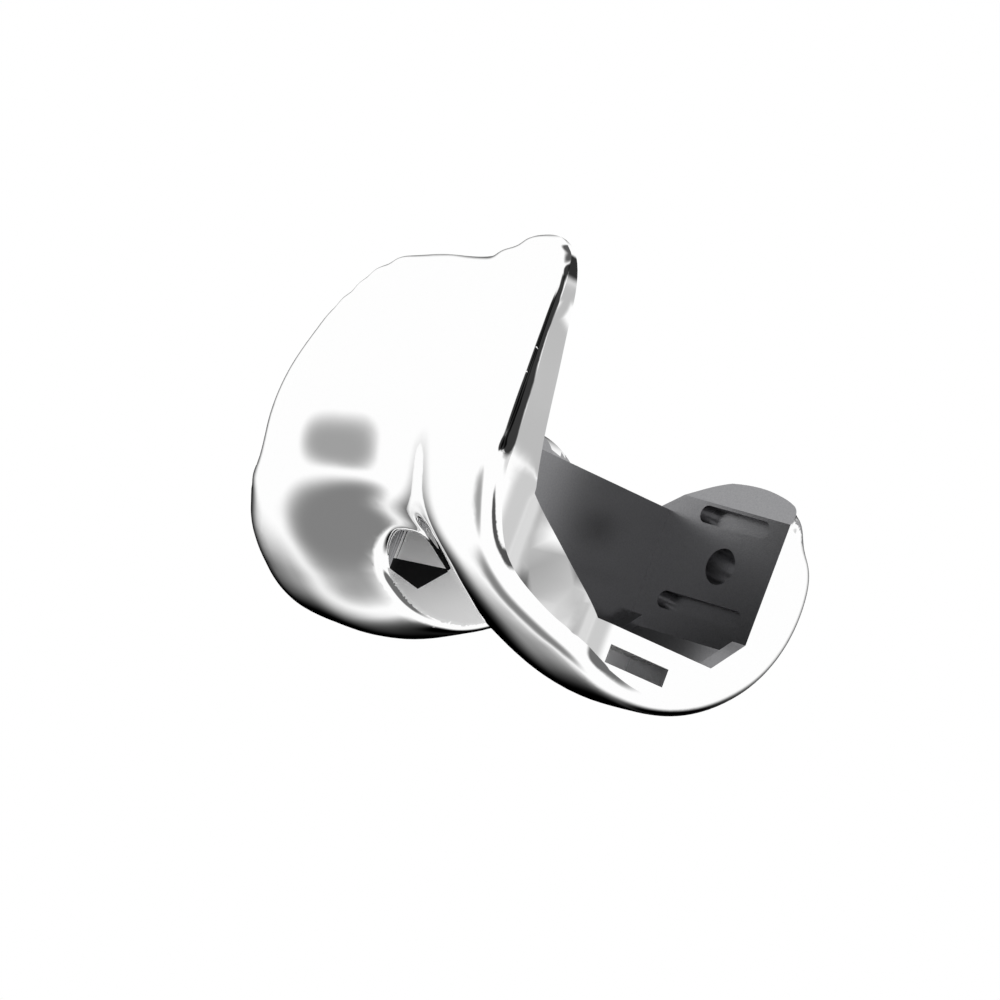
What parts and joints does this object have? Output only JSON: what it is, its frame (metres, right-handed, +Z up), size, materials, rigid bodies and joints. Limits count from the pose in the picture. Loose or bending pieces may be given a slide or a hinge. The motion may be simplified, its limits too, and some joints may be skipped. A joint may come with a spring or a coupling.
{
  "type": "knee femoral component",
  "caption": "Polished metal cap for the end of the thigh bone in a knee replacement, with rounded condyles, a front flange, a central box and a cement side.",
  "frame": {"origin": "middle of the distal cut: midway across the box, level with the rim of the distal cut", "axes": "+Z up into the bone, out of the distal cut; -Y to the front, where the flange stands; +X to the side with the taller flange"},
  "size_m": [0.0644, 0.0568, 0.0541],
  "materials": {
    "cobalt_chrome": "mirror polished outside, grit-blasted on the bone side"
  },
  "bodies": {
    "root": {"femoral_component": "cobalt_chrome"}
  },
  "joints": []
}
